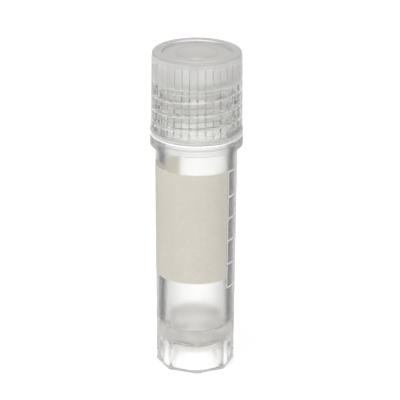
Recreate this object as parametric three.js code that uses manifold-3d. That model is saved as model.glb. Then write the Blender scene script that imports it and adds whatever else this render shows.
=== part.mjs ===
// Self-standing cryogenic vial with an external thread: tube, sealing washer and screw cap.
// Millimetres, +Z up along the vial's axis, origin in the middle of the ring that it stands on.
// Angles round the axis are measured from the front (-Y) towards +X, as LatheGeometry turns.

import * as THREE from 'three';
import { mergeVertices } from 'three/addons/utils/BufferGeometryUtils.js';
import Module from 'manifold-3d';

// ---------- driving dimensions ----------

// Foot of the tube: a hollow skirt with flats that keep the vial from turning in a rack.
const foot = {
  height: 5.4,          // from the standing ring to the body
  setBack: 0.05,        // how far the skirt lies inside the body's lower edge
  flats: 8,
  flatDepth: 0.4,       // at the middle of a flat
  flatRunout: 0.5,      // slope that ends each flat under the body
  turn: 2.5,            // degrees from the front to a land between two flats
  wall: 1.1,            // at the middle of a flat
  pocketDepth: 4.0,     // hollow underside
  pocketDraft: 0.15,
  edge: 0.12,           // chamfer round the standing ring
  gateRadius: 1.6,      // moulding gate in the middle of the underside
  gateHeight: 0.8,
};

// Body, with draft inside and outside.
const body = {
  radiusFoot: 6.0,
  radiusShoulder: 6.25,
  shoulder: 35.85,      // height of the collar's underside
  wall: 1.5,            // from the shoulder down to the taper
  wallFoot: 1.65,       // where the bore's floor begins
  taperTop: 28,         // height from which the bore narrows downwards
  floor: 1.4,           // thickness in the middle
  domeDepth: 1.6,       // how far the bore's floor is dished
};

// The collar stands a little proud of the cap that closes on it.
const collar = {
  lip: 0.06,
  draft: 0.03,
  thickness: 1.8,
  edge: 0.15,
};

const neck = {
  height: 8.35,         // from the collar to the rim
  wall: 0.65,           // at the root of the thread
  rimEdge: 0.12,
};

// Single-start right-hand thread shared by neck and cap.
const thread = {
  pitch: 2.2,
  depth: 0.45,
  rootWidth: 1.15,      // of the neck's ridge
  crestWidth: 0.6,
  radialClearance: 0.15,
  flankClearance: 0.2,
  lead: 1.85,           // height of the neck's helix over the collar, at the front
  aboveCollar: 1.5,     // neck ridge: its lower end over the collar
  belowRim: 1.45,       // neck ridge: its upper end under the rim
  aboveMouth: 1.3,      // cap ridge: its lower end over the cap's mouth
  belowWasher: 1.3,     // cap ridge: its upper end under the washer
  fade: 50,             // degrees over which each end of a ridge runs out
  root: 0.2,            // how far a ridge is sunk into its wall
};

const washer = {
  thickness: 1.0,
  lip: 1.35,            // how far the washer reaches inside the rim
  edgeClearance: 0.1,   // between the washer and the cap's wall
};

const cap = {
  seatGap: 0.15,        // between the cap's mouth and the collar
  wall: 0.95,           // at the mouth, without the bead
  draft: 0.12,          // how far the grip leans in towards the top
  top: 3.35,            // from the ceiling to the top
  bead: 0.07,           // plain bead under the grip
  beadHeight: 0.85,
  bevel: 0.09,          // plain band over the grip
  bevelHeight: 0.8,
  rimEdge: 0.2,
  land: 1.45,           // flat round the recess
  recessDepth: 0.3,
  recessEdge: 0.1,
  discRadius: 3.3,      // raised middle of the recess
  discHeight: 0.15,
  mouthChamfer: 0.3,
  grooves: 36,
  grooveWidth: 0.26,
  grooveDepth: 0.18,
  grooveTurn: 1,        // degrees from the front to the nearest groove
};

// Facets of the round forms.
const TUBE_SEGMENTS = 48;
const CAP_SEGMENTS = 72;
const WASHER_SEGMENTS = 48;
const THREAD_STEPS_A_TURN = 36;
const ARC_STEPS = 3;

// ---------- sizes that follow ----------

const skirtRadius = body.radiusFoot - foot.setBack;
const flatRadius = skirtRadius - foot.flatDepth;
const pocketRadius = flatRadius - foot.wall;
const boreRadiusFloor = body.radiusFoot - body.wallFoot;
const boreRadiusMouth = body.radiusShoulder - body.wall;
const boreFloor = foot.pocketDepth + body.floor;
const boreWallEnd = boreFloor + body.domeDepth;
const collarTop = body.shoulder + collar.thickness;
const rim = collarTop + neck.height;
const neckRadius = boreRadiusMouth + neck.wall;

const mouth = collarTop + cap.seatGap;
const ceiling = rim + washer.thickness;
const capTop = ceiling + cap.top;
const capBoreRadius = neckRadius + thread.depth + thread.radialClearance;
const capRadius = capBoreRadius + cap.wall;
const beadRadius = capRadius + cap.bead;
const gripTopRadius = capRadius - cap.draft;
const capRimRadius = gripTopRadius - cap.bevel;
const recessRadius = capRimRadius - cap.land;
const collarRadius = beadRadius + collar.lip;
const gripBottom = mouth + cap.beadHeight;
const gripTop = capTop - cap.bevelHeight;

// ---------- helpers ----------

const wasm = await Module();
wasm.setup();

const point = (x, y) => new THREE.Vector2(x, y);
const radians = THREE.MathUtils.degToRad;

// Arc about (x, y) from one angle to another, in degrees, as profile points.
function arc(x, y, radiusX, radiusY, from, to, steps = ARC_STEPS) {
  return Array.from({ length: steps + 1 }, (_, i) => {
    const angle = radians(THREE.MathUtils.lerp(from, to, i / steps));
    return point(x + radiusX * Math.cos(angle), y + radiusY * Math.sin(angle));
  });
}

// Closed solid from a geometry, with shared corners merged and empty triangles dropped.
function solid(geometry) {
  geometry.deleteAttribute('normal');
  geometry.deleteAttribute('uv');
  const merged = mergeVertices(geometry, 1e-5);
  const corners = merged.index.array;
  const kept = [];
  for (let i = 0; i < corners.length; i += 3) {
    const [a, b, c] = corners.slice(i, i + 3);
    if (a !== b && b !== c && c !== a) kept.push(a, b, c);
  }
  return new wasm.Manifold(new wasm.Mesh({
    numProp: 3,
    vertProperties: new Float32Array(merged.attributes.position.array),
    triVerts: new Uint32Array(kept),
  }));
}

// Body of revolution about Z. Profile points are (radius, height), with the solid on their left.
function revolve(profile, segments, turn = 0) {
  const geometry = new THREE.LatheGeometry(profile, segments, radians(turn));
  return solid(geometry.rotateX(Math.PI / 2));
}

// Prism-like body with flat sides: radii are measured to the middle of a side.
function revolveFlats(profile) {
  const corner = 1 / Math.cos(Math.PI / foot.flats);
  return revolve(profile.map(({ x, y }) => point(x * corner, y)), foot.flats, foot.turn);
}

function namedMesh(name, shape, material) {
  const { numProp, vertProperties, triVerts } = shape.getMesh();
  const geometry = new THREE.BufferGeometry();
  geometry.setAttribute('position', new THREE.BufferAttribute(vertProperties, numProp));
  geometry.setIndex(new THREE.BufferAttribute(triVerts, 1));
  geometry.computeVertexNormals();
  const mesh = new THREE.Mesh(geometry, material);
  mesh.name = name;
  return mesh;
}

// ---------- thread ----------

// Helical ridge on a wall of the given radius. A positive depth stands outwards and a negative one
// inwards. The ridge's middle runs from one height to another along the helix that passes the front
// at the height base. The section is extruded straight, with Z as the angle, and then wound up.
function threadRidge({ radius, depth, rootWidth, crestWidth, base, from, to }) {
  const inside = -Math.sign(depth) * thread.root;
  const section = new THREE.Shape([
    point(inside, -rootWidth / 2),
    point(0, -rootWidth / 2),
    point(depth, -crestWidth / 2),
    point(depth, crestWidth / 2),
    point(0, rootWidth / 2),
    point(inside, rootWidth / 2),
  ]);
  const turnOf = (height) => 2 * Math.PI * (height - base) / thread.pitch;
  const start = turnOf(from);
  const length = turnOf(to) - start;
  const steps = Math.ceil(length / (2 * Math.PI) * THREAD_STEPS_A_TURN);
  const geometry = new THREE.ExtrudeGeometry(section, { depth: length, steps, bevelEnabled: false });
  const positions = geometry.attributes.position;
  const fade = radians(thread.fade);
  for (let i = 0; i < positions.count; i++) {
    const angle = start + length - positions.getZ(i);
    const end = Math.min(angle - start, start + length - angle) / fade;
    const standing = Math.min(1, Math.max(0, end));
    const offset = positions.getX(i);
    const proud = offset === inside ? inside : offset * standing + inside * (1 - standing) / 2;
    const around = angle - Math.PI / 2;
    positions.setXYZ(
      i,
      (radius + proud) * Math.cos(around),
      (radius + proud) * Math.sin(around),
      base + thread.pitch * angle / (2 * Math.PI) + positions.getY(i),
    );
  }
  return solid(geometry);
}

// ---------- vial tube ----------

function buildTube() {
  const profile = [
    point(0, 0),
    point(skirtRadius - foot.edge, 0),
    point(skirtRadius, foot.edge),
    point(skirtRadius, foot.height),
    point(body.radiusFoot, foot.height),
    point(body.radiusShoulder, body.shoulder),
    point(collarRadius - collar.draft - foot.edge, body.shoulder),
    point(collarRadius - collar.draft, body.shoulder + foot.edge),
    ...arc(collarRadius - collar.edge, collarTop - collar.edge, collar.edge, collar.edge, 0, 90),
    point(neckRadius, collarTop),
    point(neckRadius, rim - neck.rimEdge),
    point(neckRadius - neck.rimEdge, rim),
    point(boreRadiusMouth + neck.rimEdge, rim),
    point(boreRadiusMouth, rim - neck.rimEdge),
    point(boreRadiusMouth, body.taperTop),
    ...arc(0, boreWallEnd, boreRadiusFloor, body.domeDepth, 0, -90, 3 * ARC_STEPS),
  ];

  const beyond = 2 * collarRadius;
  const envelope = revolveFlats([
    point(0, -1),
    point(flatRadius, -1),
    point(flatRadius, foot.height - foot.flatRunout),
    point(body.radiusFoot, foot.height),
    point(beyond, foot.height),
    point(beyond, rim + 1),
    point(0, rim + 1),
  ]);
  const pocket = revolve([
    point(0, -1),
    point(pocketRadius, -1),
    point(pocketRadius, 0),
    point(pocketRadius - foot.pocketDraft, foot.pocketDepth),
    point(0, foot.pocketDepth),
  ], TUBE_SEGMENTS);
  const ceilingOverlap = body.floor / 4;
  const gate = revolve([
    ...arc(0, foot.pocketDepth, foot.gateRadius, foot.gateHeight, -90, 0),
    point(foot.gateRadius, foot.pocketDepth + ceilingOverlap),
    point(0, foot.pocketDepth + ceilingOverlap),
  ], TUBE_SEGMENTS / 2);
  const ridge = threadRidge({
    radius: neckRadius,
    depth: thread.depth,
    rootWidth: thread.rootWidth,
    crestWidth: thread.crestWidth,
    base: collarTop + thread.lead,
    from: collarTop + thread.aboveCollar,
    to: rim - thread.belowRim,
  });
  return revolve(profile, TUBE_SEGMENTS).intersect(envelope).subtract(pocket).add(gate).add(ridge);
}

// ---------- screw cap ----------

// One groove of the grip, leaning with the cap's draft.
function gripGroove(angle) {
  const outside = cap.grooveDepth;
  const halfWidth = cap.grooveWidth / 2 * (cap.grooveDepth + outside) / cap.grooveDepth;
  const section = new THREE.Shape([
    point(-cap.grooveDepth, 0),
    point(outside, -halfWidth),
    point(outside, halfWidth),
  ]);
  const length = gripTop - gripBottom;
  const lean = Math.atan(cap.draft / length);
  const geometry = new THREE.ExtrudeGeometry(section, { depth: length, bevelEnabled: false });
  geometry.rotateY(-lean).translate(capRadius, 0, gripBottom).rotateZ(angle);
  return solid(geometry);
}

function buildCap() {
  const beadEdge = 2 * cap.bead;
  const recessFloor = capTop - cap.recessDepth;
  const discTop = recessFloor + cap.discHeight;
  const edge = cap.recessEdge;
  const boreMouth = capBoreRadius + cap.mouthChamfer;
  const profile = [
    point(boreMouth, mouth),
    ...arc(beadRadius - beadEdge, mouth + beadEdge, beadEdge, beadEdge, -90, 0),
    point(beadRadius, gripBottom - beadEdge),
    point(capRadius, gripBottom),
    point(gripTopRadius, gripTop),
    ...arc(capRimRadius - cap.rimEdge, capTop - cap.rimEdge, cap.rimEdge, cap.rimEdge, 0, 90),
    ...arc(recessRadius + edge, capTop - edge, edge, edge, 90, 180),
    ...arc(recessRadius - edge, recessFloor + edge, edge, edge, 0, -90),
    point(cap.discRadius, recessFloor),
    ...arc(cap.discRadius - edge / 2, discTop - edge / 2, edge / 2, edge / 2, 0, 90),
    point(0, discTop),
    point(0, ceiling),
    point(capBoreRadius, ceiling),
    point(capBoreRadius, mouth + cap.mouthChamfer),
    point(boreMouth, mouth),
  ];
  const ridge = threadRidge({
    radius: capBoreRadius,
    depth: -thread.depth,
    rootWidth: thread.pitch - thread.crestWidth - 2 * thread.flankClearance,
    crestWidth: thread.pitch - thread.rootWidth - 2 * thread.flankClearance,
    base: collarTop + thread.lead + thread.pitch / 2,
    from: mouth + thread.aboveMouth,
    to: rim - thread.belowWasher,
  });
  let shape = revolve(profile, CAP_SEGMENTS).add(ridge);
  const firstGroove = radians(cap.grooveTurn) - Math.PI / 2;
  for (let i = 0; i < cap.grooves; i++) {
    shape = shape.subtract(gripGroove(firstGroove + 2 * Math.PI * i / cap.grooves));
  }
  return shape;
}

// ---------- sealing washer ----------

function buildWasher() {
  const outer = capBoreRadius - washer.edgeClearance;
  const hole = boreRadiusMouth - washer.lip;
  return revolve([
    point(hole, rim),
    point(outer, rim),
    point(outer, ceiling),
    point(hole, ceiling),
    point(hole, rim),
  ], WASHER_SEGMENTS);
}

// ---------- model ----------

const clearPolypropylene = new THREE.MeshStandardMaterial({
  color: '#dcdcd8',
  roughness: 0.25,
  metalness: 0,
});
const frostedPolypropylene = new THREE.MeshStandardMaterial({
  color: '#c9c9c4',
  roughness: 0.45,
  metalness: 0,
});
const silicone = new THREE.MeshStandardMaterial({
  color: '#d4d4cf',
  roughness: 0.6,
  metalness: 0,
});

const cryovial = new THREE.Group();
cryovial.add(namedMesh('vial_tube', buildTube(), clearPolypropylene));
cryovial.add(namedMesh('sealing_washer', buildWasher(), silicone));
cryovial.add(namedMesh('screw_cap', buildCap(), frostedPolypropylene));

export default cryovial;
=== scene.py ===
"""Cryovial: translucent tube, sealing washer and screw cap on a pale floor.

Shapes are worked out in millimetres and become metres where a mesh is made. Angles round the vial are in
degrees from the front (-Y) towards +X.
"""
import math

import bpy
import numpy as np
from mathutils import Matrix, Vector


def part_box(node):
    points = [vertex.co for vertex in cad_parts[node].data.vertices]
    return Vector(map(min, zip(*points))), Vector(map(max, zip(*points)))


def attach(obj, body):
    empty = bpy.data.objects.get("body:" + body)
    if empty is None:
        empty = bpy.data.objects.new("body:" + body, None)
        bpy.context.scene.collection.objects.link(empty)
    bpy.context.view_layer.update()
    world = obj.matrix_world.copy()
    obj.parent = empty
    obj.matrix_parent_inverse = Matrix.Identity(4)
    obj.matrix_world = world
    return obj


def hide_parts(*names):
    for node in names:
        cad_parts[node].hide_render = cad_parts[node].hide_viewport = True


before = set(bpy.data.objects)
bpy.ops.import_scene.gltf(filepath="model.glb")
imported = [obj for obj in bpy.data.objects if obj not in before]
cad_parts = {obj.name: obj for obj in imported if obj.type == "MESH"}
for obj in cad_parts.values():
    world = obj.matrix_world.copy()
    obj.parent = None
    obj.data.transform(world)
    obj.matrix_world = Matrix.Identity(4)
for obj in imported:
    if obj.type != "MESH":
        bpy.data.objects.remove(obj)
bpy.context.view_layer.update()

MM = 0.001


# ---------- sizes ----------

def box_mm(node):
    """Lowest and highest corners of a CAD node, in millimetres."""
    return [np.array(corner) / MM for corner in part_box(node)]


_, tube_high = box_mm("vial_tube")
cap_low, cap_high = box_mm("screw_cap")
washer_low, washer_high = box_mm("sealing_washer")

RIM = tube_high[2]                       # top of the neck
COLLAR_RADIUS = tube_high[0]
MOUTH = cap_low[2]                       # lower edge of the cap
CAP_TOP = cap_high[2]
BEAD_RADIUS = cap_high[0]
CEILING = washer_high[2]                 # inside of the cap's top

# the tube's body and collar
COLLAR_TOP = MOUTH - 0.15
SHOULDER = COLLAR_TOP - 1.8              # underside of the collar
COLLAR_SHADE_LINE = COLLAR_TOP - 0.73         # height of a line of painted shade round the collar
COLLAR_UNDER_RADIUS = COLLAR_RADIUS - 0.03
SHOULDER_RADIUS = 6.25
FOOT_RADIUS = 6.0                        # of the body, just over the skirt
FOOT_HEIGHT = 5.4
TUBE_EDGE = 0.12                         # of every edge but the collar's top
COLLAR_EDGE = 0.15
COLLAR_FILLET = 0.15                     # under the collar, and where the neck meets it

# the bore and its floor
BORE_MOUTH_RADIUS = SHOULDER_RADIUS - 1.5
BORE_FLOOR_RADIUS = FOOT_RADIUS - 1.65
BORE_TAPER_TOP = 28.0                    # the bore narrows from here down
FLOOR_THICKNESS = 1.4                    # in its middle
DOME_DEPTH = 1.6                         # how far the floor is dished
NECK_RADIUS = BORE_MOUTH_RADIUS + 0.65

# the foot: a skirt with flats round a hollow
SKIRT_RADIUS = FOOT_RADIUS - 0.05
RING_EDGE = 0.1                          # of the standing ring, towards the hollow
FLAT_RADIUS = SKIRT_RADIUS - 0.4         # to the middle of a flat
FLAT_TOP = FOOT_HEIGHT - 0.5             # where the flats start to run out
FLATS = 8
FLAT_TURN = 2.5                          # from the front to a land between flats
POCKET_RADIUS = FLAT_RADIUS - 1.1
POCKET_DRAFT = 0.15
POCKET_DEPTH = 4.0
BORE_FLOOR = POCKET_DEPTH + FLOOR_THICKNESS   # its lowest point
BORE_WALL_END = BORE_FLOOR + DOME_DEPTH
GATE_RADIUS, GATE_HEIGHT = 1.6, 0.8      # where the moulding was filled, under the floor

# both threads
THREAD_PITCH = 2.2
THREAD_DEPTH = 0.45
THREAD_BASE = MOUTH + 1.7                # height of the neck's helix at the front
THREAD_FADE = 50 / 360 * THREAD_PITCH    # height gained while an end runs out
NECK_THREAD_WIDTHS = 1.15, 0.6           # at the root and at the crest
NECK_THREAD_ENDS = MOUTH + 1.35, RIM - 1.45
CAP_THREAD_BASE = THREAD_BASE + THREAD_PITCH / 2
CAP_THREAD_WIDTHS = 1.2, 0.65
CAP_THREAD_ENDS = MOUTH + 1.3, RIM - 1.3

# the cap
CAP_BORE_RADIUS = NECK_RADIUS + 0.6
CAP_BORE_EDGE = 0.15                     # under the ceiling
MOUTH_CHAMFER = 0.3
BEAD_EDGE = 0.14
GRIP_RADIUS = BEAD_RADIUS - 0.07
GRIP_DRAFT = 0.12                        # how far the grip leans in
GRIP_BOTTOM = MOUTH + 0.85
GRIP_TOP = CAP_TOP - 0.8
CAP_RIM_RADIUS = GRIP_RADIUS - GRIP_DRAFT - 0.09
CAP_RIM_EDGE = 0.2
GROOVES = 36
GROOVE_TURN = 1.0                        # degrees from the front to the nearest groove
GROOVE_HALF_WIDTH = 1.07                 # degrees
GROOVE_DEPTH = 0.18
GROOVE_RUN_OUT = 0.15                    # over which each of its ends gets shallow
RECESS_RADIUS = CAP_RIM_RADIUS - 1.45    # inside a flat ring
RECESS_DEPTH = 0.3
RECESS_EDGE = 0.1
DISC_RADIUS, DISC_HEIGHT = 3.3, 0.15     # raised middle of the recess
DISC_EDGE = 0.5                          # width of its slope

# the washer, whose outer size is its CAD node's
WASHER_HOLE_RADIUS = 3.4
WASHER_EDGE = 0.12
WASHER_CLEARANCE = 0.02                  # to the neck and to the cap

# print on the body; a field is its first and last angle, and its lowest and highest point
PATCH_FIELD = (-150, 49.1, 15.07, 32.76)
SCALE_FIELD = (50.4, 52.5, 13.53, 32.50)  # the graduation's upright line
PRINT_ROW = 2                            # height of a row of its faces
TICK_HALF_WIDTH = 0.14
TICK_START, LONG_TICK_START = 51.5, 50.3   # degrees; the top one starts at the second
TICK_END, LONG_TICK_END = 66, 74         # the bottom one ends at the second
TICK_HEIGHTS = (28.42, 24.90, 21.25, 17.41)   # between the top one and the bottom one
INK_INSIDE, INK_OUTSIDE = 0.004, 0.022   # its two faces, over the wall

# vertices round a piece; the cap has ten for each groove and the land beside it
TUBE_COLUMNS = 288
WASHER_COLUMNS = 144
GROOVE_COLUMNS = (-5, -3.2, -1.9, -GROOVE_HALF_WIDTH, -0.5, 0, 0.5, GROOVE_HALF_WIDTH, 1.9, 3.2)   # degrees

# Painted highlights: lines along edges that would catch the light are painted paler. A share of 1 is fully
# pale.
HIGHLIGHT_HALF_WIDTH = 0.09
COLLAR_HIGHLIGHT_SHARE = 1.0
CAP_HIGHLIGHT_SHARE = 1.0                     # round the mouth, and level with the rim of the neck
RECESS_HIGHLIGHT_SHARE = 0.6
FOOT_RING_HIGHLIGHT_SHARE = 0.8
THREAD_HIGHLIGHTS = (-0.85, 1.0), (0.4, 0.45)   # height over the middle of the cap's thread, and share


# ---------- surfaces ----------

def steps(count, start=0.0, end=1.0):
    """A column of evenly spaced numbers, one for each row of a grid."""
    return np.linspace(start, end, count)[:, None]


def smooth(t):
    """0 below 0 and 1 above 1, with the cubic 3t^2 - 2t^3 between."""
    t = np.clip(t, 0, 1)
    return t * t * (3 - 2 * t)


def arc(radius, height, reach, start, end, count=5):
    """Rows along an arc about (radius, height): radius plus reach times the cosine, height plus reach times
    the sine."""
    turn = np.radians(steps(count, start, end))
    return radius + reach * np.cos(turn), height + reach * np.sin(turn)


def line(start, end, count=2):
    """Rows along a straight line between two (radius, height) points."""
    t = steps(count)
    return start[0] + t * (end[0] - start[0]), start[1] + t * (end[1] - start[1])


def even_turns(count):
    """Angles evenly spaced round the vial, in degrees."""
    return np.arange(count) * 360 / count


def stack(angles, *sections):
    """One grid of radii and one of heights, from sections that are (rows, 1) or (rows, angles)."""
    shaped = [np.broadcast_arrays(r, z, np.zeros((1, len(angles))))[:2] for r, z in sections]
    return np.vstack([r for r, _ in shaped]), np.vstack([z for _, z in shaped])


def around(radii, heights, angles):
    """Points of a grid: x is radius times sine, y is minus radius times cosine, z is the height."""
    turn = np.radians(angles)
    return np.stack([radii * np.sin(turn), -radii * np.cos(turn), heights + 0 * turn], axis=-1)


def quads(index):
    """Four-cornered faces between neighbouring rows and columns of a grid of vertex numbers."""
    a, b = index[:-1, :-1], index[:-1, 1:]
    c, d = index[1:, 1:], index[1:, :-1]
    return np.stack([a, b, c, d], axis=-1).reshape(-1, 4)


def turned_body(radii, heights, angles):
    """Vertices and faces of a body whose profile starts and ends on the axis, with the columns closed
    round."""
    grid = around(radii, heights, angles)[1:-1]
    count, columns = grid.shape[:2]
    index = np.arange(count * columns).reshape(count, columns)
    index = np.hstack([index, index[:, :1]])
    first, last = count * columns, count * columns + 1
    poles = [[0, 0, heights[0].mean()], [0, 0, heights[-1].mean()]]
    start_fan = np.stack([np.full(columns, first), index[0, 1:], index[0, :-1]], axis=-1)
    end_fan = np.stack([index[-1, :-1], index[-1, 1:], np.full(columns, last)], axis=-1)
    return np.vstack([grid.reshape(-1, 3), poles]), [quads(index), start_fan, end_fan]


def turned_ring(radii, heights, angles):
    """Vertices and faces of a ring: both the profile and the columns close on themselves."""
    grid = around(radii, heights, angles)
    index = np.arange(grid[..., 0].size).reshape(grid.shape[:2])
    index = np.hstack([index, index[:, :1]])
    index = np.vstack([index, index[:1]])
    return grid.reshape(-1, 3), [quads(index)]


def make_piece(name, vertices, faces, material, body, replaces=(), sharp=40, shares=None):
    """A mesh object from vertices in millimetres and a list of face arrays, riding on a body. An edge sharper
    than sharp, in degrees, is shaded as one. Shares are named values at its vertices, which its material
    reads."""
    sizes = np.concatenate([np.full(len(f), f.shape[1]) for f in faces])
    mesh = bpy.data.meshes.new(name)
    mesh.vertices.add(len(vertices))
    mesh.vertices.foreach_set("co", (np.asarray(vertices) * MM).ravel())
    mesh.loops.add(int(sizes.sum()))
    mesh.loops.foreach_set("vertex_index", np.concatenate([f.ravel() for f in faces]).astype(np.int32))
    mesh.polygons.add(len(sizes))
    mesh.polygons.foreach_set("loop_start", (np.cumsum(sizes) - sizes).astype(np.int32))
    mesh.update(calc_edges=True)
    mesh.validate()
    mesh.shade_smooth()
    mesh.set_sharp_from_angle(angle=math.radians(sharp))
    for name_of_share, values in (shares or {}).items():
        attribute = mesh.attributes.new(name_of_share, "FLOAT", "POINT")
        attribute.data.foreach_set("value", values.astype(np.float32))
    mesh.materials.append(material)
    piece = bpy.data.objects.new(name, mesh)
    bpy.context.scene.collection.objects.link(piece)
    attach(piece, body)
    if replaces:
        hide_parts(*replaces)


def helix_distance(angles, heights, base):
    """Distance up the axis from the nearest turn of the helix that passes the front at the height base."""
    lead = base + THREAD_PITCH * angles / 360
    return (heights - lead + THREAD_PITCH / 2) % THREAD_PITCH - THREAD_PITCH / 2


def radii_and_heights(vertices):
    """Distance of each vertex from the axis, and up it."""
    return np.hypot(vertices[:, 0], vertices[:, 1]), vertices[:, 2]


def paint_highlight_lines(vertices, inner, outer, helix_lines, rings):
    """Share, from 0 to 1, of the painted highlight at each vertex: a paler colour where an edge would catch
    the light. It is full within HIGHLIGHT_HALF_WIDTH of a line, taken up the axis, and none from twice as
    far. A helix line is its height at the front, its lowest and highest points and its share; a ring is its
    height and its share. Only vertices between two radii take part."""
    angles = np.degrees(np.arctan2(vertices[:, 0], -vertices[:, 1])) % 360
    radii, heights = radii_and_heights(vertices)
    share = np.zeros(len(vertices))
    for base, lowest, highest, amount in helix_lines:
        near = smooth(2 - np.abs(helix_distance(angles, heights, base)) / HIGHLIGHT_HALF_WIDTH)
        share = np.maximum(share, amount * near * (heights > lowest) * (heights < highest))
    for height, amount in rings:
        share = np.maximum(share, amount * smooth(2 - np.abs(heights - height) / HIGHLIGHT_HALF_WIDTH))
    return share * (radii > inner) * (radii < outer)


def helix_ridge(angles, heights, base, ends, widths):
    """Standing height of a thread, from 0 to 1. The distance from the nearest turn of the helix is taken up
    the axis; the ridge is full within half its crest width and gone at half its root width, and its two ends
    run out over THREAD_FADE."""
    (lowest, highest), (root_width, crest_width) = ends, widths
    distance = helix_distance(angles, heights, base)
    turn_height = heights - distance
    section = smooth((root_width / 2 - np.abs(distance)) / ((root_width - crest_width) / 2))
    run_out = smooth((turn_height - lowest) / THREAD_FADE) * smooth((highest - turn_height) / THREAD_FADE)
    return section * run_out


# ---------- materials ----------

def new_material(name):
    """A node material with its Principled shader."""
    material = bpy.data.materials.new(name)
    material.use_nodes = True
    tree = material.node_tree
    return material, tree, tree.nodes["Principled BSDF"]


def math_node(tree, operation, first, second):
    """The result of a Math node on two sockets or numbers."""
    node = tree.nodes.new("ShaderNodeMath")
    node.operation = operation
    for socket, value in zip(node.inputs, (first, second)):
        if isinstance(value, (int, float)):
            socket.default_value = value
        else:
            tree.links.new(value, socket)
    return node.outputs[0]


def noise(tree, scale, detail=2.0, squash=(1, 1, 1)):
    """Noise over Object coordinates. scale is in features a metre."""
    where = tree.nodes.new("ShaderNodeTexCoord")
    mapping = tree.nodes.new("ShaderNodeMapping")
    mapping.inputs["Scale"].default_value = squash
    texture = tree.nodes.new("ShaderNodeTexNoise")
    texture.inputs["Scale"].default_value = scale
    texture.inputs["Detail"].default_value = detail
    tree.links.new(where.outputs["Object"], mapping.inputs["Vector"])
    tree.links.new(mapping.outputs["Vector"], texture.inputs["Vector"])
    return texture.outputs["Fac"]


def spread(tree, value, low, high):
    """A 0 to 1 value carried to a range."""
    node = tree.nodes.new("ShaderNodeMapRange")
    node.inputs["To Min"].default_value = low
    node.inputs["To Max"].default_value = high
    tree.links.new(value, node.inputs["Value"])
    return node.outputs["Result"]


def ramp(tree, value, start, end, low=0.0, high=1.0):
    """A value carried from low to high, smoothly, as it goes from start to end."""
    node = tree.nodes.new("ShaderNodeMapRange")
    node.interpolation_type = "SMOOTHSTEP"
    node.inputs["From Min"].default_value = start
    node.inputs["From Max"].default_value = end
    node.inputs["To Min"].default_value = low
    node.inputs["To Max"].default_value = high
    tree.links.new(value, node.inputs["Value"])
    return node.outputs["Result"]


def blend_colour(tree, value, first, second):
    """A colour between two, by a 0 to 1 value."""
    node = tree.nodes.new("ShaderNodeMix")
    node.data_type = "RGBA"
    node.inputs[6].default_value = (*first, 1)
    node.inputs[7].default_value = (*second, 1)
    tree.links.new(value, node.inputs[0])
    return node.outputs[2]


def add_bump(tree, shader, height, distance, strength=1.0):
    """Fine relief of the given depth in metres."""
    bump = tree.nodes.new("ShaderNodeBump")
    bump.inputs["Strength"].default_value = strength
    bump.inputs["Distance"].default_value = distance
    tree.links.new(height, bump.inputs["Height"])
    tree.links.new(bump.outputs["Normal"], shader.inputs["Normal"])


def along(tree, direction):
    """Distance in metres from the axis, or up it, by the parts of Object coordinates that direction keeps."""
    where = tree.nodes.new("ShaderNodeTexCoord")
    part = tree.nodes.new("ShaderNodeVectorMath")
    part.operation = "MULTIPLY"
    part.inputs[1].default_value = direction
    tree.links.new(where.outputs["Object"], part.inputs[0])
    length = tree.nodes.new("ShaderNodeVectorMath")
    length.operation = "LENGTH"
    tree.links.new(part.outputs[0], length.inputs[0])
    return length.outputs["Value"]


def zone(tree, shader, limits, changes):
    """Carries sockets of a shader over to other values where every limit holds. A limit is an attribute's
    name, or a direction and the two distances, in millimetres, between which it comes to hold."""
    share = 1.0
    for limit in limits:
        if isinstance(limit, str):
            holds = tree.nodes.new("ShaderNodeAttribute")
            holds.attribute_name = limit
            holds = holds.outputs["Fac"]
        else:
            direction, start, end = limit
            holds = ramp(tree, along(tree, direction), start * MM, end * MM)
        share = math_node(tree, "MULTIPLY", share, holds)
    for name, value in changes.items():
        socket = shader.inputs[name]
        before = socket.links[0].from_socket
        mix = tree.nodes.new("ShaderNodeMix")
        tree.links.new(share, mix.inputs[0])
        if isinstance(value, tuple):
            mix.data_type = "RGBA"
            tree.links.new(before, mix.inputs[6])
            mix.inputs[7].default_value = (*value, 1)
            tree.links.new(mix.outputs[2], socket)
        else:
            tree.links.new(before, mix.inputs[2])
            mix.inputs[3].default_value = value
            tree.links.new(mix.outputs[0], socket)


PLASTIC_IOR = 1.49
CLARITY_VARIATION = 0.01                 # of the refracting share, along the streaks
FLOW_SCALE, FROST_SCALE = 900, 2500      # features a metre


def translucent_moulding(name, colour, haze_colour, clear, roughness, relief, absorption, zones=()):
    """Moulded plastic or silicone: refracting by the clear share and milky by the rest, with faint flow
    streaks, relief in metres, and an even depth colour from a plain absorbing volume, given as its colour and
    density. Each zone is a list of limits and what its finish is inside them."""
    material, tree, shader = new_material(name)
    streaks = noise(tree, FLOW_SCALE, 3.0, (1, 1, 0.25))
    tree.links.new(blend_colour(tree, streaks, haze_colour, colour), shader.inputs["Base Color"])
    shader.inputs["IOR"].default_value = PLASTIC_IOR
    clarity = spread(tree, streaks, clear - CLARITY_VARIATION, clear + CLARITY_VARIATION)
    tree.links.new(clarity, shader.inputs["Transmission Weight"])
    tree.links.new(spread(tree, noise(tree, FROST_SCALE), *roughness), shader.inputs["Roughness"])
    for limits, changes in zones:
        zone(tree, shader, limits, changes)
    add_bump(tree, shader, noise(tree, FLOW_SCALE, 5.0, (1, 1, 0.5)), relief)
    volume = tree.nodes.new("ShaderNodeVolumeAbsorption")
    volume.inputs["Color"].default_value = (*absorption[0], 1)
    volume.inputs["Density"].default_value = absorption[1]
    tree.links.new(volume.outputs["Volume"], tree.nodes["Material Output"].inputs["Volume"])
    return material


RADIAL, AXIAL = (1, 1, 0), (0, 0, 1)     # out from the axis, and up it


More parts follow.
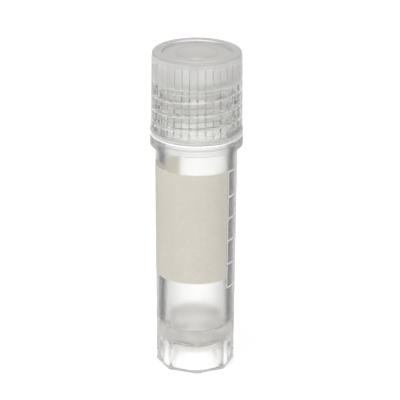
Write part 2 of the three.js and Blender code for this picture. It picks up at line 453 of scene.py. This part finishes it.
def outside(radius, blur=0.1):
    """The limit that holds farther out than a radius, and starts to at that less the blur."""
    return RADIAL, radius - blur, radius


def inside(radius, blur=0.1):
    """The limit that holds nearer the axis than a radius, and starts to at that plus the blur."""
    return RADIAL, radius + blur, radius


def above(height, blur=0.1):
    """The limit that holds over a height, and starts to at that less the blur."""
    return AXIAL, height - blur, height


def below(height, blur=0.1):
    """The limit that holds under a height, and starts to at that plus the blur."""
    return AXIAL, height + blur, height


# limits that part a moulding's inner surfaces from its outer ones
in_bore = inside(BORE_MOUTH_RADIUS + 0.33, 0.04)
in_hollow = inside(POCKET_RADIUS + 0.25, 0.05)
over_dish = inside(BORE_FLOOR_RADIUS + 0.55)
on_outer_wall = outside(FOOT_RADIUS - 0.7)
on_collar = outside(SHOULDER_RADIUS + 0.35)
on_cap_wall = outside(CAP_RIM_RADIUS - 0.14)

# the milky top of the cap with painted shade: a dark grey colour that darkens the top, which the lamps light
# most
MILKY_TOP_PAINTED_SHADE = {"Transmission Weight": 0.5, "Base Color": (0.5, 0.495, 0.475)}
# painted highlight: a near-white, nearly opaque colour on lines along edges and thread flanks, for light they
# would catch
PAINTED_HIGHLIGHT_ZONE = (["painted_highlight"], {"Transmission Weight": 0.1, "Base Color": (0.99, 0.99, 0.985), "Roughness": 0.3})

tube_zones = [
    # satin bore
    ([in_bore], {"Roughness": 0.28}),
    # satin wall of the hollow underside, and rougher near its ceiling
    ([in_hollow, below(POCKET_DEPTH - 0.2)], {"Roughness": 0.3}),
    ([in_hollow, below(POCKET_DEPTH + 0.2), above(POCKET_DEPTH - 0.4, 0.7)], {"Roughness": 0.7}),
    # dished floor of the bore
    ([over_dish, below(BORE_WALL_END - 0.1, 0.3), above(BORE_FLOOR - 0.3)],
     {"Transmission Weight": 0.85, "Base Color": (0.985, 0.965, 0.935), "Roughness": 0.7}),
    # ceiling of the hollow underside, with the gate
    ([inside(POCKET_RADIUS - 0.05, 0.05), below(BORE_FLOOR - 0.2), above(POCKET_DEPTH - GATE_HEIGHT)],
     {"Transmission Weight": 0.85, "Base Color": (0.985, 0.97, 0.945), "Roughness": 0.8}),
    # outside of the thick floor: milky where the plastic is deep, and a grey colour there that is painted
    # shade
    ([on_outer_wall, below(BORE_WALL_END + 0.1, 0.2), above(POCKET_DEPTH + 0.8, 0.2)],
     {"Transmission Weight": 0.5, "Base Color": (0.7, 0.68, 0.65)}),
    # outside of the collar, with painted shade: a little grey colour that darkens it
    ([on_collar, above(SHOULDER + 0.2)], {"Transmission Weight": 0.94, "Base Color": (0.8, 0.8, 0.79)}),
    # a darker grey line round the collar: painted shade
    ([on_collar, above(COLLAR_SHADE_LINE - 0.08, 0.15), below(COLLAR_SHADE_LINE + 0.08, 0.15)],
     {"Transmission Weight": 0.75, "Base Color": (0.55, 0.55, 0.54)}),
    # lower edge of the foot, painted dark as shade along its outline
    ([below(0.08, 0.08)], {"Transmission Weight": 0.5, "Base Color": (0.3, 0.3, 0.3)}),
    PAINTED_HIGHLIGHT_ZONE,
]
cap_zones = [
    # body of the cap over the rim of the neck, where it is solid behind
    ([above(RIM + 0.4, 0.5)],
     {"Transmission Weight": 0.6, "Base Color": (0.9, 0.895, 0.88), "Roughness": 0.2}),
    # smooth band over the grip, with painted shade: a grey colour that darkens it
    ([above(GRIP_TOP + 0.1, 0.2), on_cap_wall], {"Base Color": (0.8, 0.795, 0.78)}),
    # bead round the mouth, with painted shade: a grey colour that darkens it
    ([below(GRIP_BOTTOM - 0.1)], {"Transmission Weight": 0.8, "Base Color": (0.8, 0.8, 0.785)}),
    # flat ring round the recess, and the recess: milky, with painted shade that darkens the top
    ([above(CAP_TOP - 0.05, 0.25), outside(RECESS_RADIUS + 0.11)], MILKY_TOP_PAINTED_SHADE),
    ([above(CAP_TOP - RECESS_DEPTH - 0.02), inside(RECESS_RADIUS + 0.09, 0.04)], MILKY_TOP_PAINTED_SHADE),
    PAINTED_HIGHLIGHT_ZONE,
]

clear_plastic = translucent_moulding(
    "clear_polypropylene", (0.99, 0.99, 0.985), (0.98, 0.98, 0.975), 0.98, (0.05, 0.09), 3e-6,
    ((0.6, 0.58, 0.52), 10), tube_zones)
frosted_plastic = translucent_moulding(
    "frosted_polypropylene", (0.975, 0.97, 0.95), (0.955, 0.95, 0.93), 0.88, (0.04, 0.08), 1.2e-5,
    ((0.5, 0.5, 0.46), 8), cap_zones)
silicone = translucent_moulding(
    "silicone", (0.7, 0.7, 0.68), (0.65, 0.65, 0.63), 0.4, (0.4, 0.5), 4e-6,
    ((0.5, 0.5, 0.47), 80))


MOTTLE_SCALE, GRAIN_SCALE = 300, 4500    # features a metre
SHEEN_SCALE, MESH_SCALE = 3000, 9000
INK_ROUGHNESS = (0.5, 0.7)
INK_SPECULAR = 0.3


def ink(name, colour, second, through_share, relief):
    """Screen-printed ink: matte, with a faint mottle, a fine grain and the ripple of the mesh it was printed
    through. The relief is in metres. A share of the light that it passes on comes through it, and all of it
    where it meets the plastic."""
    material, tree, shader = new_material(name)
    mottle = ramp(tree, noise(tree, MOTTLE_SCALE, 4.0), 0.35, 0.65, 0.35, 0.65)
    grain = ramp(tree, noise(tree, GRAIN_SCALE, 1.0), 0.3, 0.7, -0.6, 0.6)
    tone = blend_colour(tree, math_node(tree, "ADD", mottle, grain), colour, second)
    tree.links.new(tone, shader.inputs["Base Color"])
    through = tree.nodes.new("ShaderNodeBsdfTranslucent")
    tree.links.new(tone, through.inputs["Color"])
    both = tree.nodes.new("ShaderNodeMixShader")
    inner = tree.nodes.new("ShaderNodeAttribute")
    inner.attribute_name = "inner_face"
    tree.links.new(spread(tree, inner.outputs["Fac"], through_share, 1.0), both.inputs[0])
    tree.links.new(shader.outputs[0], both.inputs[1])
    tree.links.new(through.outputs[0], both.inputs[2])
    tree.links.new(both.outputs[0], tree.nodes["Material Output"].inputs["Surface"])
    tree.links.new(spread(tree, noise(tree, SHEEN_SCALE), *INK_ROUGHNESS), shader.inputs["Roughness"])
    shader.inputs["Specular IOR Level"].default_value = INK_SPECULAR
    add_bump(tree, shader, noise(tree, MESH_SCALE, 1.0), relief)
    return material


patch_ink = ink("cream_ink", (0.93, 0.9, 0.82), (0.995, 0.955, 0.885), 0.43, 4e-6)
white_ink = ink("white_ink", (0.97, 0.97, 0.96), (0.95, 0.95, 0.94), 0.15, 3e-6)


# ---------- tube ----------

def flat_sides(angles, radius):
    """Distance to a flat-sided outline: the radius to the middle of a side, over the cosine of the angle from
    there."""
    side = 360 / FLATS
    off = (angles - FLAT_TURN) % side - side / 2
    return radius / np.cos(np.radians(off))


def skirt(angles, height):
    """The skirt's outline: round, cut back to the flats, which run out towards the body."""
    run_out = np.clip((height - FLAT_TOP) / (FOOT_HEIGHT - FLAT_TOP), 0, 1)
    flat = flat_sides(angles, FLAT_RADIUS + run_out * (FOOT_RADIUS - FLAT_RADIUS))
    return np.minimum(SKIRT_RADIUS + 0 * height, flat)


def pocket(angles, height):
    """The hollow underside's outline: round, with draft."""
    return POCKET_RADIUS - POCKET_DRAFT * height / POCKET_DEPTH + 0 * angles


def body_radius(height):
    """Outside of the body, which widens evenly from the foot to the shoulder."""
    return FOOT_RADIUS + (SHOULDER_RADIUS - FOOT_RADIUS) * (height - FOOT_HEIGHT) / (SHOULDER - FOOT_HEIGHT)


def build_tube():
    """The tube's profile from the gate under the floor, out over the foot, up the body, collar and thread,
    over the rim and down the bore to its dished floor."""
    angles = even_turns(TUBE_COLUMNS)
    edge, fillet = TUBE_EDGE, COLLAR_FILLET
    gate_turn = np.radians(steps(7, 0, 90))
    gate_foot = GATE_RADIUS + 0.05
    ceiling = pocket(angles, POCKET_DEPTH)
    pocket_heights = steps(4, POCKET_DEPTH - edge, RING_EDGE)
    skirt_heights = np.vstack([steps(4, edge, FLAT_TOP - 0.1), steps(6, FLAT_TOP, FOOT_HEIGHT - 0.02)])
    neck_heights = steps(110, COLLAR_TOP + fillet, RIM - edge)
    ridge = helix_ridge(angles, neck_heights, THREAD_BASE, NECK_THREAD_ENDS, NECK_THREAD_WIDTHS)
    dome_turn = np.radians(steps(14, 0, 90))[1:]
    sections = [
        (GATE_RADIUS * np.sin(gate_turn), POCKET_DEPTH - GATE_HEIGHT * np.cos(gate_turn)),
        (gate_foot + steps(3) * (ceiling - edge - gate_foot), np.full((3, 1), POCKET_DEPTH)),
        (pocket(angles, pocket_heights), pocket_heights),
        (pocket(angles, 0) + np.full((2, 1), RING_EDGE), np.zeros((2, 1))),
        (skirt(angles, np.zeros((1, 1))) - edge, np.zeros((1, 1))),
        (skirt(angles, skirt_heights), skirt_heights),
        line((FOOT_RADIUS, FOOT_HEIGHT), (SHOULDER_RADIUS, SHOULDER - fillet), 16),
        arc(SHOULDER_RADIUS + fillet, SHOULDER - fillet, fillet, 180, 90),
        arc(COLLAR_UNDER_RADIUS - edge, SHOULDER + edge, edge, -90, 0),
        arc(COLLAR_RADIUS - COLLAR_EDGE, COLLAR_TOP - COLLAR_EDGE, COLLAR_EDGE, 0, 90, 6),
        arc(NECK_RADIUS + fillet, COLLAR_TOP + fillet, fillet, -90, -180),
        (NECK_RADIUS + THREAD_DEPTH * ridge, neck_heights),
        arc(NECK_RADIUS - edge, RIM - edge, edge, 0, 90),
        arc(BORE_MOUTH_RADIUS + edge, RIM - edge, edge, 90, 180),
        line((BORE_MOUTH_RADIUS, RIM - edge - 0.02), (BORE_MOUTH_RADIUS, BORE_TAPER_TOP + 0.5), 8),
        line((BORE_MOUTH_RADIUS, BORE_TAPER_TOP - 0.5), (BORE_FLOOR_RADIUS, BORE_WALL_END), 16),
        (BORE_FLOOR_RADIUS * np.cos(dome_turn), BORE_WALL_END - DOME_DEPTH * np.sin(dome_turn)),
    ]
    vertices, faces = turned_body(*stack(angles, *sections), angles)
    radii, heights = radii_and_heights(vertices)
    # painted highlights round the top of the collar and on the standing ring under the foot
    rings = [(COLLAR_TOP, COLLAR_HIGHLIGHT_SHARE)]
    edges = paint_highlight_lines(vertices, NECK_RADIUS + 0.05, COLLAR_RADIUS + 0.01, [], rings)
    standing_ring = (heights < 0.01) & (radii < POCKET_RADIUS + 0.2)
    edges += FOOT_RING_HIGHLIGHT_SHARE * standing_ring
    make_piece("clear_tube", vertices, faces, clear_plastic, "vial", ["vial_tube"], 15,
               {"painted_highlight": edges})


# ---------- cap and washer ----------

def build_cap():
    """The cap's profile from its ceiling, down the threaded bore, round the mouth and bead, up the grooved
    grip, over the rim and into the recess."""
    period = 360 / GROOVES
    turns = GROOVE_TURN + period * np.arange(GROOVES)
    angles = (turns[:, None] + GROOVE_COLUMNS).ravel()
    off = (angles - GROOVE_TURN + period / 2) % period - period / 2
    groove = np.clip(1 - np.abs(off) / GROOVE_HALF_WIDTH, 0, 1)

    chamfer_top = MOUTH + MOUTH_CHAMFER
    bore_heights = steps(118, CEILING - CAP_BORE_EDGE, chamfer_top)
    ridge = helix_ridge(angles, bore_heights, CAP_THREAD_BASE, CAP_THREAD_ENDS, CAP_THREAD_WIDTHS)
    near = np.array([0, 0.04, 0.09, 0.15, 0.3])[:, None]     # closer rows where the grooves run out
    grip_middle = steps(6, GRIP_BOTTOM + 1, GRIP_TOP - 1)
    grip_heights = np.vstack([GRIP_BOTTOM + near, grip_middle, GRIP_TOP - near[::-1]])
    grip_wall = GRIP_RADIUS - GRIP_DRAFT * (grip_heights - GRIP_BOTTOM) / (GRIP_TOP - GRIP_BOTTOM)
    from_end = np.minimum(grip_heights - GRIP_BOTTOM, GRIP_TOP - grip_heights)
    depth = GROOVE_DEPTH * smooth(from_end / GROOVE_RUN_OUT)
    grip_top_radius = GRIP_RADIUS - GRIP_DRAFT
    rim_inside = CAP_RIM_RADIUS - CAP_RIM_EDGE
    recess_floor = CAP_TOP - RECESS_DEPTH
    disc_top = recess_floor + DISC_HEIGHT
    disc_radius, disc_slope = DISC_RADIUS - DISC_EDGE / 2, steps(9, 0.5, -0.5)
    sections = [
        line((0, CEILING), (CAP_BORE_RADIUS - CAP_BORE_EDGE - 0.05, CEILING), 5),
        arc(CAP_BORE_RADIUS - CAP_BORE_EDGE, CEILING - CAP_BORE_EDGE, CAP_BORE_EDGE, 90, 0),
        (CAP_BORE_RADIUS - THREAD_DEPTH * ridge, bore_heights),
        line((CAP_BORE_RADIUS + 0.02, chamfer_top - 0.03), (CAP_BORE_RADIUS + MOUTH_CHAMFER, MOUTH)),
        arc(BEAD_RADIUS - BEAD_EDGE, MOUTH + BEAD_EDGE, BEAD_EDGE, -90, 0),
        line((BEAD_RADIUS, GRIP_BOTTOM - 0.14), (GRIP_RADIUS + 0.01, GRIP_BOTTOM - 0.01)),
        (grip_wall - depth * groove, grip_heights),
        line((grip_top_radius - 0.005, GRIP_TOP + 0.03), (CAP_RIM_RADIUS, CAP_TOP - CAP_RIM_EDGE - 0.03), 3),
        arc(rim_inside, CAP_TOP - CAP_RIM_EDGE, CAP_RIM_EDGE, 0, 90, 6),
        line((rim_inside - 0.05, CAP_TOP), (RECESS_RADIUS + RECESS_EDGE + 0.15, CAP_TOP), 4),
        arc(RECESS_RADIUS + RECESS_EDGE, CAP_TOP - RECESS_EDGE, RECESS_EDGE, 90, 180, 6),
        arc(RECESS_RADIUS - RECESS_EDGE, recess_floor + RECESS_EDGE, RECESS_EDGE, 0, -90, 6),
        (disc_radius + DISC_EDGE * disc_slope, recess_floor + DISC_HEIGHT * smooth(0.5 - disc_slope)),
        line((disc_radius - 0.6, disc_top), (0, disc_top), 5),
    ]
    vertices, faces = turned_body(*stack(angles, *sections), angles)
    radii, heights = radii_and_heights(vertices)
    # painted highlights along the cap's thread, round the mouth and level with the rim of the neck
    helix_lines = [(CAP_THREAD_BASE + over, MOUTH + 0.8, RIM - 0.4, share) for over, share in THREAD_HIGHLIGHTS]
    rings = [(RIM + 0.05, CAP_HIGHLIGHT_SHARE), (MOUTH, CAP_HIGHLIGHT_SHARE)]
    edges = paint_highlight_lines(vertices, NECK_RADIUS, BEAD_RADIUS + 0.01, helix_lines, rings)
    # painted highlight on the recess's rim, at the front and back and none at the sides
    front_and_back = smooth(3 * np.abs(vertices[:, 1]) / radii.clip(1) - 2)
    recess_rim = smooth(2 - np.abs(radii - RECESS_RADIUS - 0.04) / 0.05) * (heights > CAP_TOP - 0.12)
    edges = np.maximum(edges, RECESS_HIGHLIGHT_SHARE * recess_rim * front_and_back)
    # painted highlights stay on the bore, the mouth and the top, and none go on the grip
    edges *= (heights > CEILING) | (radii < CAP_BORE_RADIUS + MOUTH_CHAMFER + 0.01) | (heights < MOUTH + 0.3)
    make_piece("grooved_cap", vertices, faces, frosted_plastic, "cap", ["screw_cap"],
               shares={"painted_highlight": edges})


def build_washer():
    """A flat ring with rounded edges, from four arcs joined into one closed profile."""
    angles = even_turns(WASHER_COLUMNS)
    edge = WASHER_EDGE
    inner, outer = WASHER_HOLE_RADIUS + edge, washer_high[0] - edge
    low, high = washer_low[2] + WASHER_CLEARANCE + edge, CEILING - WASHER_CLEARANCE - edge
    sections = [
        arc(inner, low, edge, -180, -90),
        arc(outer, low, edge, -90, 0),
        arc(outer, high, edge, 0, 90),
        arc(inner, high, edge, 90, 180),
    ]
    vertices, faces = turned_ring(*stack(angles, *sections), angles)
    make_piece("silicone_washer", vertices, faces, silicone, "washer", ["sealing_washer"])


# ---------- print ----------

def printed_fields(fields, step=1.5):
    """Thin closed shells on the body. A field is (first angle, last angle, lowest, highest). Its section is a
    small loop in height and radius that follows the body's wall, carried round from one angle to the other
    in steps of about step degrees. Also says which vertices lie against the wall."""
    vertices, faces, inner, count = [], [], [], 0
    for first, last, low, high in fields:
        angles = np.linspace(first, last, max(2, round(abs(last - first) / step) + 1))
        heights = np.linspace(low, high, max(2, round((high - low) / PRINT_ROW) + 1))
        loop_heights = np.concatenate([heights, heights[::-1]])[:, None]
        lift = np.repeat([INK_OUTSIDE, INK_INSIDE], len(heights))[:, None]
        grid = around(body_radius(loop_heights) + lift, loop_heights, angles)
        index = np.arange(grid[..., 0].size).reshape(grid.shape[:2]) + count
        rows = len(heights)
        start_cap = np.stack([index[:rows, 0], index[:rows - 1:-1, 0]])
        end_cap = np.stack([index[:rows - 1:-1, -1], index[:rows, -1]])
        vertices.append(grid.reshape(-1, 3))
        inner.append(np.broadcast_to(lift < INK_OUTSIDE, grid.shape[:2]).ravel())
        faces += [quads(np.vstack([index, index[:1]])), quads(start_cap), quads(end_cap)]
        count += grid[..., 0].size
    return np.vstack(vertices), faces, {"inner_face": np.concatenate(inner)}


def build_print():
    """The writing patch, and the graduation: an upright line, and level ones, the lowest of them longest."""
    vertices, faces, inner = printed_fields([PATCH_FIELD])
    make_piece("writing_patch", vertices, faces, patch_ink, "vial", shares=inner)
    bottom, top = SCALE_FIELD[2:]
    ticks = [(top, LONG_TICK_START, TICK_END)]
    ticks += [(height, TICK_START, TICK_END) for height in TICK_HEIGHTS]
    ticks += [(bottom, TICK_START, LONG_TICK_END)]
    half = TICK_HALF_WIDTH
    tick_fields = [(first, last, height - half, height + half) for height, first, last in ticks]
    vertices, faces, inner = printed_fields([SCALE_FIELD] + tick_fields)
    make_piece("graduation", vertices, faces, white_ink, "vial", shares=inner)


build_tube()
build_cap()
build_washer()
build_print()


# ---------- stage ----------

CORNER_EDGE = (0.1, 0.9)                 # squared sine where a corner starts and is fully dark
OUTSIDE_SHARE = 0.3                      # of the shade that reflections off the outside see
STRAIGHT_SHARE = 0.35                    # of the shade that rays straight through see
BOTH_WALLS = 4                           # surfaces of the plastic on the way through the tube
CEILING_RISE = (0.3, 0.5)                # sine of the elevation where the corners fade and are gone
CLEAR_FLOOR = (0.0065, 0.01)             # metres from the axis where they start and are full on the floor
AMBIENT = 0.6
FLOOR_GLOW = 0.62
POOL_GLOW = 0.2                          # more under the vial, which gathers light there
POOL_EDGE = (0.0045, 0.0058)             # metres from the axis
FAR_GLOW = 0.14                          # more far from the lamps, so that the floor has no horizon
FAR_EDGE = (0.3, 1.2)
FLOOR_ALBEDO = 0.4
FLOOR_RADIUS = 3


def seen_or_refracted(tree):
    """1 for rays that come from the camera, a reflection or a refraction, and 0 for scattered ones."""
    path = tree.nodes.new("ShaderNodeLightPath")
    total = path.outputs["Is Camera Ray"]
    for name in ("Is Glossy Ray", "Is Transmission Ray"):
        node = tree.nodes.new("ShaderNodeMath")
        node.operation = "MAXIMUM"
        tree.links.new(total, node.inputs[0])
        tree.links.new(path.outputs[name], node.inputs[1])
        total = node.outputs[0]
    return path, total


def studio_shade(tree, path, direction, kept_share):
    """Brightness of the surroundings. Rays that bounced inside the plastic see pale openings to the front,
    back and sides and darker corners between them: one less a share of a ramp over the squared sine of twice
    the azimuth. Rays off its outside, and straight through both its walls, see less of the corners, and
    others see none. kept_share says how much of them a direction keeps."""
    split = tree.nodes.new("ShaderNodeSeparateXYZ")
    tree.links.new(direction, split.inputs[0])
    azimuth = math_node(tree, "ARCTAN2", split.outputs["X"], split.outputs["Y"])
    wave = math_node(tree, "SINE", math_node(tree, "MULTIPLY", azimuth, 2.0), 0.0)
    corner = ramp(tree, math_node(tree, "MULTIPLY", wave, wave), *CORNER_EDGE)
    crossings = path.outputs["Transmission Depth"]
    bounced = math_node(tree, "GREATER_THAN", path.outputs["Glossy Depth"], 0.5)
    entered = math_node(tree, "GREATER_THAN", crossings, 0.5)
    through = math_node(tree, "GREATER_THAN", crossings, BOTH_WALLS - 0.5)
    bounce_weight = math_node(tree, "MULTIPLY", entered, 1 - OUTSIDE_SHARE)
    bounce_weight = math_node(tree, "ADD", bounce_weight, OUTSIDE_SHARE)
    bounced_share = math_node(tree, "MULTIPLY", bounced, bounce_weight)
    straight = math_node(tree, "MULTIPLY", math_node(tree, "SUBTRACT", 1.0, bounced), through)
    share = math_node(tree, "ADD", bounced_share, math_node(tree, "MULTIPLY", straight, STRAIGHT_SHARE))
    share = math_node(tree, "MULTIPLY", share, math_node(tree, "LESS_THAN", crossings, BOTH_WALLS + 0.5))
    share = math_node(tree, "MULTIPLY", share, kept_share(tree, direction))
    undiffused = math_node(tree, "LESS_THAN", path.outputs["Diffuse Depth"], 0.5)
    share = math_node(tree, "MULTIPLY", share, undiffused)
    return math_node(tree, "SUBTRACT", 1.0, math_node(tree, "MULTIPLY", share, corner))


def below_ceiling(tree, direction):
    """1 for level rays and 0 for those that rise steeply."""
    split = tree.nodes.new("ShaderNodeSeparateXYZ")
    tree.links.new(direction, split.inputs[0])
    return ramp(tree, split.outputs["Z"], *CEILING_RISE, 1.0, 0.0)


def away_from_vial(tree, direction):
    """0 on the floor round the vial and 1 farther out."""
    reach = tree.nodes.new("ShaderNodeVectorMath")
    reach.operation = "LENGTH"
    tree.links.new(direction, reach.inputs[0])
    return ramp(tree, reach.outputs["Value"], *CLEAR_FLOOR)


def build_world():
    """A white surround for what is seen, and a softer one for what lights the object."""
    world = bpy.data.worlds.new("studio")
    bpy.context.scene.world = world
    world.use_nodes = True
    tree = world.node_tree
    background = tree.nodes["Background"]
    path, seen = seen_or_refracted(tree)
    where = tree.nodes.new("ShaderNodeTexCoord")
    shade = studio_shade(tree, path, where.outputs["Generated"], below_ceiling)
    lit = math_node(tree, "SUBTRACT", shade, AMBIENT)
    strength = math_node(tree, "ADD", AMBIENT, math_node(tree, "MULTIPLY", seen, lit))
    tree.links.new(strength, background.inputs["Strength"])
    background.inputs["Color"].default_value = (1, 1, 1, 1)
    world.cycles.sampling_method = "NONE"


def build_floor():
    """A plain floor: part plain diffuse, which takes the shadow, and part glow, which makes up white."""
    bpy.ops.mesh.primitive_circle_add(vertices=96, radius=FLOOR_RADIUS, fill_type="NGON")
    floor = bpy.context.object
    floor.name = "floor"
    material = bpy.data.materials.new("pale_floor")
    material.use_nodes = True
    tree = material.node_tree
    tree.nodes.remove(tree.nodes["Principled BSDF"])
    path, seen = seen_or_refracted(tree)
    where = tree.nodes.new("ShaderNodeTexCoord")
    shade = studio_shade(tree, path, where.outputs["Object"], away_from_vial)
    diffuse = tree.nodes.new("ShaderNodeBsdfDiffuse")
    albedo = tree.nodes.new("ShaderNodeCombineColor")
    for channel in albedo.inputs:
        tree.links.new(math_node(tree, "MULTIPLY", shade, FLOOR_ALBEDO), channel)
    tree.links.new(albedo.outputs[0], diffuse.inputs["Color"])
    glow = tree.nodes.new("ShaderNodeEmission")
    reach = along(tree, RADIAL)
    pool = ramp(tree, reach, *POOL_EDGE, FLOOR_GLOW + POOL_GLOW, FLOOR_GLOW)
    pool = math_node(tree, "ADD", pool, ramp(tree, reach, *FAR_EDGE, 0.0, FAR_GLOW))
    tree.links.new(math_node(tree, "MULTIPLY", math_node(tree, "MULTIPLY", shade, pool), seen),
                   glow.inputs["Strength"])
    both = tree.nodes.new("ShaderNodeAddShader")
    tree.links.new(diffuse.outputs[0], both.inputs[0])
    tree.links.new(glow.outputs[0], both.inputs[1])
    tree.links.new(both.outputs[0], tree.nodes["Material Output"].inputs["Surface"])
    material.cycles.emission_sampling = "NONE"
    floor.data.materials.append(material)


LAMP_AIM_HEIGHT = 0.025                  # the middle of the vial


def add_lamp(name, azimuth, elevation, distance, size, power):
    """A square soft box that faces the middle of the vial, in metres and watts."""
    lamp = bpy.data.lights.new(name, "AREA")
    lamp.shape = "SQUARE"
    lamp.size = size
    lamp.energy = power
    turn = (Matrix.Translation((0, 0, LAMP_AIM_HEIGHT)) @ Matrix.Rotation(math.radians(azimuth), 4, "Z")
            @ Matrix.Rotation(math.radians(90 - elevation), 4, "X") @ Matrix.Translation((0, 0, distance)))
    box = bpy.data.objects.new(name, lamp)
    box.matrix_world = turn
    box.visible_camera = False
    bpy.context.scene.collection.objects.link(box)


AIM_HEIGHT = 0.0245       # the point on the vial's axis that the camera turns about, metres up
CAMERA_DISTANCE = 0.4     # metres from that point


def build_camera():
    """A long lens from the front, a little above the vial, leaning by a third of a degree."""
    elevation, roll = math.radians(21.64), math.radians(0.369)
    camera = bpy.data.cameras.new("camera")
    camera.sensor_width = 36
    camera.lens = 235.4
    camera.shift_x, camera.shift_y = 0.0099, 0.0297
    camera.clip_start = 0.01
    camera_object = bpy.data.objects.new("camera", camera)
    camera_object.matrix_world = (
        Matrix.Translation((0, 0, AIM_HEIGHT)) @ Matrix.Rotation(math.pi / 2 - elevation, 4, "X")
        @ Matrix.Translation((0, 0, CAMERA_DISTANCE)) @ Matrix.Rotation(roll, 4, "Z"))
    bpy.context.scene.collection.objects.link(camera_object)
    bpy.context.scene.camera = camera_object


build_world()
build_floor()
add_lamp("key", -40, 45, 0.7, 0.16, 2.6)
add_lamp("fill", 50, 35, 0.8, 0.16, 1.6)
add_lamp("top", 180, 70, 0.7, 0.16, 1.2)
build_camera()
bpy.context.scene.view_settings.view_transform = "Standard"
